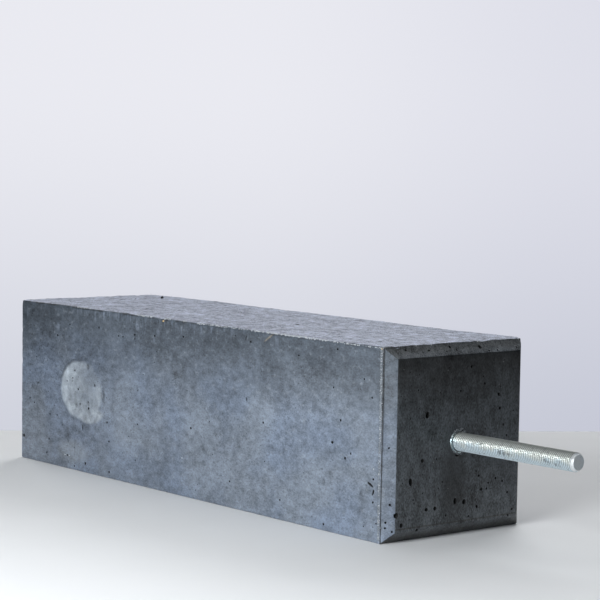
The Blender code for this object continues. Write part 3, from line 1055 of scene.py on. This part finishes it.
def turned(name, profile, sides):
    """Spins (x, radius) points that start and end on the rod's axis once round it."""
    shape = bmesh.new()
    rings = []
    for x, radius in profile:
        angles = [math.tau * i / sides for i in range(sides)]
        rings.append([Vector((x, radius * math.cos(a), ROD_AXIS.z + radius * math.sin(a))) for a in angles])
    skin(shape, rings)
    made = as_object(name, shape)
    made.data.shade_smooth()
    made.data.set_sharp_from_angle(angle=SOCKET_CREASE)
    return made


def rounded_lip(x, radius, edge, inner):
    """Quarter circle from the tube's outside over its mouth, or from the mouth into the bore."""
    points = []
    for k in range(LIP_STEPS + 1):
        angle = math.pi / 2 * k / LIP_STEPS
        rise, run = edge * (1 - math.sin(angle)), edge * (1 - math.cos(angle))
        points.append((x - run, radius + rise) if inner else (x - rise, radius - run))
    return points


def zinc_group():
    """Zinc plating: tint from blue to straw, dulled patches and fine crystals."""
    group, given, out = new_group("zinc_plating", {}, ["Tint", "Dull", "Grain"])
    place = given["Place"]
    group.links.new(mapped(group, noise_of(group, place, 14, 3), 0.35, 0.65), out["Tint"])
    group.links.new(mapped(group, noise_of(group, place, 4.2, 4, 0.65), 0.52, 0.7), out["Dull"])
    group.links.new(noise_of(group, place, 0.6, 3, 0.7), out["Grain"])
    return group


ZINC = zinc_group()
# Dark handling marks on the rod: place along it and height, on the side towards the camera.
ROD_SMUDGES = ((419, 98.5), (425, 97), (431, 97.5), (391, 104), (483, 98), (488, 96), (497, 95))


def rod_smudge(tree, place, x, z):
    """A ragged dark mark on the rod's near side."""
    ragged = sum_of(tree, "MULTIPLY_ADD", noise_of(tree, place, 2, 2), 6.0, -3.0)
    away = measured(tree, "DISTANCE", place, (x, -ROD_RADIUS / MM, z))
    return mapped(tree, sum_of(tree, "ADD", away, ragged), 3.0, 1.0)


def zinc_material(name, blue, straw, dull, roughness, dulling, metallic, root_shade=1.0):
    """Zinc plating. The thread's root_shade is under 1: darker roots, painted shade along its top, dark
    marks and straw on its upper side.
    """
    made, tree, shader, place = new_finish(name, roughness)
    finish = placed(tree, ZINC, place)
    tint = finish["Tint"]
    if root_shade < 1:
        over_axis = sum_of(tree, "SUBTRACT", parts_of(tree, place)["Z"], ROD_AXIS.z / MM)
        tint = mapped(tree, sum_of(tree, "MULTIPLY_ADD", tint, 6.0, over_axis), -2, 7)
    colour = blended(tree, tint, (*blue, 1), (*straw, 1))
    colour = blended(tree, product(tree, finish["Dull"], dulling), colour, (*dull, 1))
    if root_shade < 1:
        marks = [rod_smudge(tree, place, x, z) for x, z in ROD_SMUDGES]
        colour = darkened(tree, colour, largest(tree, marks), 0.55)
        # Painted shade along the top of the rod.
        colour = darkened(tree, colour, mapped(tree, over_axis, 6.5, 9.6), 0.45)
        off_axis = vector_of(tree, "SUBTRACT", place, (0, 0, ROD_AXIS.z / MM))
        radius = measured(tree, "LENGTH", stretched(tree, off_axis, 0, 1, 1))
        colour = tinted(tree, colour, mapped(tree, radius, 8.5, 9.7, root_shade, 1.0))
    tree.links.new(colour, shader.inputs["Base Color"])
    rough = sum_of(tree, "ADD", roughness - 0.08, product(tree, finish["Dull"], 0.22))
    rough = sum_of(tree, "ADD", rough, product(tree, finish["Grain"], 0.14))
    tree.links.new(rough, shader.inputs["Roughness"])
    shader.inputs["Metallic"].default_value = metallic
    set_bump(tree, shader, finish["Grain"], 0.25, 0.08 * MM)
    return made


bore_radius = SOCKET_RADIUS - SOCKET_WALL
socket_profile = [(socket_low.x, SOCKET_RADIUS - SOCKET_EDGE), (socket_low.x + SOCKET_EDGE, SOCKET_RADIUS)]
socket_profile += [(END_X - SOCKET_BEVEL, SOCKET_RADIUS)]
socket_profile += rounded_lip(socket_high.x, SOCKET_RADIUS - SOCKET_BEVEL_IN, SOCKET_EDGE, False)
socket_profile += rounded_lip(socket_high.x, bore_radius, SOCKET_EDGE, True)
socket_profile += [(socket_low.x + SOCKET_FLOOR, bore_radius)]
rim_socket = turned("rim_socket", socket_profile, SOCKET_SIDES)
# Name, blue tint, straw tint, dulled colour, roughness, share dulled and metallic value.
SOCKET_FINISH = ("socket_plating", (0.42, 0.54, 0.58), (0.55, 0.6, 0.58), (0.16, 0.18, 0.19), 0.34, 0.7, 1.0)
rim_socket.data.materials.append(zinc_material(*SOCKET_FINISH))
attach(rim_socket, "root")
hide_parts("threaded_socket")

# Cement on the socket's rim
# Flakes and beads of cement paste that dried on the rim when the block was cast.
# Each stretch of the rim with flakes on it: from and to, in degrees from +Y towards +Z, and their number.
RIM_FLAKES = ((36, 128, 90), (226, 300, 34), (150, 178, 6))
RIM_CEMENT_FINISH = ("rim_cement", (0.1, 0.11, 0.12), 0.8, 0.9)


def build_rim_cement():
    """Lumps along each stretch of the rim, from within its bore edge to its outer edge."""
    shape = bmesh.new()
    pick = random.Random(31)
    for start, end, count in RIM_FLAKES:
        for _ in range(count):
            angle = math.radians(pick.uniform(start, end))
            radius = SOCKET_RADIUS + pick.uniform(-3.0, 0.2) * MM
            place = Vector((END_X + pick.uniform(0.2, 1.3) * MM, radius * math.cos(angle), 0))
            place.z = ROD_AXIS.z + radius * math.sin(angle)
            crumb(shape, place, pick.uniform(0.35, 1.0) * MM, pick, 0)
    made = as_object("rim_cement", shape)
    made.data.materials.append(plain_cement(*RIM_CEMENT_FINISH))
    return made


rim_cement = build_rim_cement()
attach(rim_cement, "root")

# Threaded rod
# A zinc-plated M20 rod with coarse right-hand thread, 2.5 mm pitch, screwed into the socket. Its tip is
# bevelled to 15.4 mm, smooth and brighter than the thread, round a duller sawn face.
THREAD_PITCH = 2.5 * MM
THREAD_DEPTH = 0.61343 * THREAD_PITCH
TIP_RADIUS = 7.7 * MM
TIP_LENGTH = 3.2 * MM
ROD_SIDES = 56
ROD_CREASE = math.radians(48)
MERGE_DISTANCE = 0.004 * MM
# Points this near an end of the thread are on its rim.
NEAR_END = 0.01 * MM
THREAD_START_X = END_X - 5 * MM
# (share of a pitch, share of the thread's depth) along one turn, from crest to crest.
THREAD_PROFILE = (
    (0, 0), (0.07, 0.02), (0.14, 0.12), (0.36, 0.84), (0.44, 0.97), (0.52, 1), (0.6, 0.97), (0.68, 0.84),
    (0.9, 0.12), (0.97, 0.02),
)
# Finishes in the order of the rod's slots, as the socket's, with the shade of the thread's roots.
ROD_FINISHES = (
    ("rod_plating", (0.67, 0.78, 0.835), (0.75, 0.78, 0.74), (0.25, 0.26, 0.27), 0.36, 0.6, 0.7, 0.25),
    ("sawn_face", (0.54, 0.58, 0.61), (0.6, 0.62, 0.63), (0.34, 0.36, 0.37), 0.6, 0.3, 0.35),
    ("bevel_plating", (0.74, 0.78, 0.81), (0.78, 0.79, 0.79), (0.5, 0.52, 0.53), 0.3, 0.3, 0.6),
)
SAWN_SLOT = 1
BEVEL_SLOT = 2


def rod_radius(x, radius):
    """Keeps a thread point inside the tip's bevel; the plain part inside the socket is made in build_rod."""
    bevel_start = rod_high.x - TIP_LENGTH
    share = (x - bevel_start) / TIP_LENGTH
    bevel = ROD_RADIUS + (TIP_RADIUS - ROD_RADIUS) * max(share, 0)
    return max(min(radius, bevel), TIP_RADIUS)


def build_rod():
    """A helix of thread points, one column for each facet round the rod, shifted a share of a pitch each."""
    shape = bmesh.new()
    turns = math.ceil((rod_high.x - THREAD_START_X) / THREAD_PITCH) + 1
    columns = []
    per_turn = len(THREAD_PROFILE)
    for i in range(ROD_SIDES + 1):
        angle = math.tau * i / ROD_SIDES
        way = Vector((0, math.sin(angle), math.cos(angle)))
        column = []
        for turn in range(-1, turns):
            for share, depth in THREAD_PROFILE:
                x = THREAD_START_X + (turn + share + i / ROD_SIDES) * THREAD_PITCH
                x = min(max(x, THREAD_START_X), rod_high.x)
                radius = rod_radius(x, ROD_RADIUS - depth * THREAD_DEPTH)
                if x == THREAD_START_X:
                    radius = ROD_RADIUS - THREAD_DEPTH
                if x == rod_high.x:
                    radius = TIP_RADIUS
                column.append((x, radius))
        columns.append((way, column))
    grid = []
    for way, column in columns[:-1]:
        grid.append([shape.verts.new(Vector((x, 0, ROD_AXIS.z)) + way * r) for x, r in column])
    for i in range(ROD_SIDES):
        here = grid[i]
        last = i == ROD_SIDES - 1
        there = grid[0][per_turn:] if last else grid[i + 1]
        for k in range(min(len(here), len(there)) - 1):
            shape.faces.new((here[k], here[k + 1], there[k + 1], there[k]))
    bmesh.ops.remove_doubles(shape, verts=shape.verts, dist=MERGE_DISTANCE)
    bmesh.ops.dissolve_degenerate(shape, edges=shape.edges, dist=MERGE_DISTANCE / 2)
    for x, out in ((THREAD_START_X, rod_low.x), (rod_high.x, None)):
        open_edges = [edge for edge in shape.edges if edge.is_boundary]
        rim = [edge for edge in open_edges if all(abs(v.co.x - x) < NEAR_END for v in edge.verts)]
        if out is not None:
            grown = bmesh.ops.extrude_edge_only(shape, edges=rim)["geom"]
            for v in (g for g in grown if isinstance(g, bmesh.types.BMVert)):
                v.co.x = out
            rim = [g for g in grown if isinstance(g, bmesh.types.BMEdge) and g.is_boundary]
        cap = bmesh.ops.contextual_create(shape, geom=rim)["faces"]
        for face in cap:
            face.material_index = SAWN_SLOT
    bmesh.ops.recalc_face_normals(shape, faces=shape.faces)
    made = as_object("column_rod", shape)
    made.data.shade_smooth()
    for face in made.data.polygons:
        if face.center.x > rod_high.x - TIP_LENGTH + 0.1 * MM and abs(face.normal.x) < 0.95:
            face.material_index = BEVEL_SLOT
    made.data.set_sharp_from_angle(angle=ROD_CREASE)
    return made


column_rod = build_rod()
for finish in ROD_FINISHES:
    column_rod.data.materials.append(zinc_material(*finish))
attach(column_rod, "root")
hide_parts("threaded_rod")

# Table and backdrop
# A plain pale table top with its far edge behind the block, before a pale backdrop out of focus.
TABLE_EDGE = (Vector((-0.568, 0.004, 0)), Vector((-0.100, 0.711, 0)))
FLOOR_REACH = 6.0
TABLE_LEFT_REACH = 1.05
TABLE_RIGHT_REACH = 0.75
TABLE_NEAR_REACH = 1.6
TABLE_PALE = (0.772, 0.776, 0.782, 1)
# The light that the floor past the table sends back.
BEYOND_TABLE = (0.02, 0.02, 0.02, 1)
# The floor far from the lights is shown as pale as the table: its glow, and where it starts and is full,
# in millimetres from the middle of the block.
FAR_FLOOR_GLOW = (0.5, 0.505, 0.52, 1)
GLOW_START = 1200
GLOW_FULL = 2800


def table_mask(tree, place, along, nearer):
    """1 on the real table top, 0 past its ends and its near edge, where only the camera sees the floor."""
    from_edge = vector_of(tree, "SUBTRACT", place, TABLE_EDGE[0] / MM)
    side = measured(tree, "DOT_PRODUCT", from_edge, along)
    depth = measured(tree, "DOT_PRODUCT", from_edge, nearer)
    length = (TABLE_EDGE[1] - TABLE_EDGE[0]).length
    left = sum_of(tree, "GREATER_THAN", side, -TABLE_LEFT_REACH / MM)
    right = sum_of(tree, "LESS_THAN", side, (length + TABLE_RIGHT_REACH) / MM)
    near = sum_of(tree, "LESS_THAN", depth, TABLE_NEAR_REACH / MM)
    return product(tree, left, right, near)


def build_table():
    start, end = TABLE_EDGE
    along = (end - start).normalized()
    nearer = Vector((along.y, -along.x, 0))
    shape = bmesh.new()
    corners = [
        start - along * FLOOR_REACH,
        start - along * FLOOR_REACH + nearer * FLOOR_REACH,
        end + along * FLOOR_REACH + nearer * FLOOR_REACH,
        end + along * FLOOR_REACH,
    ]
    shape.faces.new([shape.verts.new(p) for p in corners])
    table = as_object("table_top", shape)
    made, tree, shader, place = new_finish("pale_table", 0.6)
    cloud = mapped(tree, noise_of(tree, place, 160, 2), 0.2, 0.8, 0.985, 1.015)
    pale = tinted(tree, TABLE_PALE, cloud)
    seen = add(tree, "ShaderNodeLightPath", {}).outputs["Is Camera Ray"]
    there = sum_of(tree, "MAXIMUM", seen, table_mask(tree, place, along, nearer))
    tree.links.new(blended(tree, there, BEYOND_TABLE, pale), shader.inputs["Base Color"])
    distance = measured(tree, "LENGTH", place)
    far = product(tree, mapped(tree, distance, GLOW_START, GLOW_FULL), seen)
    tree.links.new(blended(tree, far, (0, 0, 0, 1), FAR_FLOOR_GLOW), shader.inputs["Emission Color"])
    shader.inputs["Emission Strength"].default_value = 1.0
    table.data.materials.append(made)
    return table


build_table()

BACKDROP_BRIGHT = (0.82, 0.824, 0.88, 1)
BACKDROP_SHADE = (0.6, 0.62, 0.7, 1)
BACKDROP_DIM_WAY = (0.636, 0.771, 0)
BACKDROP_DIM = (0.89, 0.895, 0.925, 1)
# Where the backdrop gets brighter with height, and dimmer towards BACKDROP_DIM_WAY.
BACKDROP_LIFT = (-0.19, 0.03)
BACKDROP_DIM_SPAN = (-0.04, 0.16)
ROOM_LIGHT = (0.6, 0.78, 1.0, 1)
ROOM_STRENGTH = 0.058


def build_backdrop():
    """The camera sees a pale backdrop, dimmer below and to one side; the object is lit by a dim room."""
    world = bpy.data.worlds.new("studio")
    bpy.context.scene.world = world
    world.use_nodes = True
    tree = world.node_tree
    tree.nodes.clear()
    way = add(tree, "ShaderNodeTexCoord", {}).outputs["Generated"]
    parts = parts_of(tree, way)
    lift = mapped(tree, parts["Z"], *BACKDROP_LIFT)
    seen = blended(tree, lift, BACKDROP_SHADE, BACKDROP_BRIGHT)
    aside = measured(tree, "DOT_PRODUCT", way, BACKDROP_DIM_WAY)
    dimmed = blended(tree, mapped(tree, aside, *BACKDROP_DIM_SPAN), (1, 1, 1, 1), BACKDROP_DIM)
    seen = tinted(tree, seen, dimmed)
    shown = add(tree, "ShaderNodeBackground", {"Color": seen, "Strength": 1.0}).outputs[0]
    lighting = add(tree, "ShaderNodeBackground", {"Color": ROOM_LIGHT, "Strength": ROOM_STRENGTH}).outputs[0]
    to_camera = add(tree, "ShaderNodeLightPath", {}).outputs["Is Camera Ray"]
    mixed = add(tree, "ShaderNodeMixShader", {0: to_camera, 1: lighting, 2: shown}).outputs[0]
    add(tree, "ShaderNodeOutputWorld", {"Surface": mixed})


build_backdrop()

# Lights
# Four softboxes: a near one before the front and the rod end, a weak one overhead, one past the foot, and
# one behind the block that lights its top and the table.
LIGHT_TARGET = Vector((0, 0, 0.1))
# name, place, width, height, power in watts, colour
SOFTBOXES = (
    ("front_softbox", Vector((0.65, -1.45, 0.58)), 0.8, 0.8, 31.9, (0.95, 0.98, 1.0)),
    ("overhead_softbox", Vector((0, 0, 2.0)), 1.4, 1.4, 6.3, (1.0, 0.99, 0.96)),
    ("foot_softbox", Vector((-2.0, 0, 1.1)), 1.2, 1.0, 9.8, (1.0, 0.99, 0.97)),
    ("back_softbox", Vector((-0.9, 1.6, 1.6)), 1.6, 1.2, 24.9, (0.97, 0.98, 1.0)),
)


def add_softboxes():
    for name, place, width, height, power, colour in SOFTBOXES:
        light = bpy.data.lights.new(name, "AREA")
        light.shape = "RECTANGLE"
        light.size = width
        light.size_y = height
        light.energy = power
        light.color = colour
        lamp = bpy.data.objects.new(name, light)
        bpy.context.scene.collection.objects.link(lamp)
        lamp.location = place
        lamp.rotation_mode = "QUATERNION"
        lamp.rotation_quaternion = (LIGHT_TARGET - place).to_track_quat("-Z", "Y")
        lamp.visible_camera = False


add_softboxes()
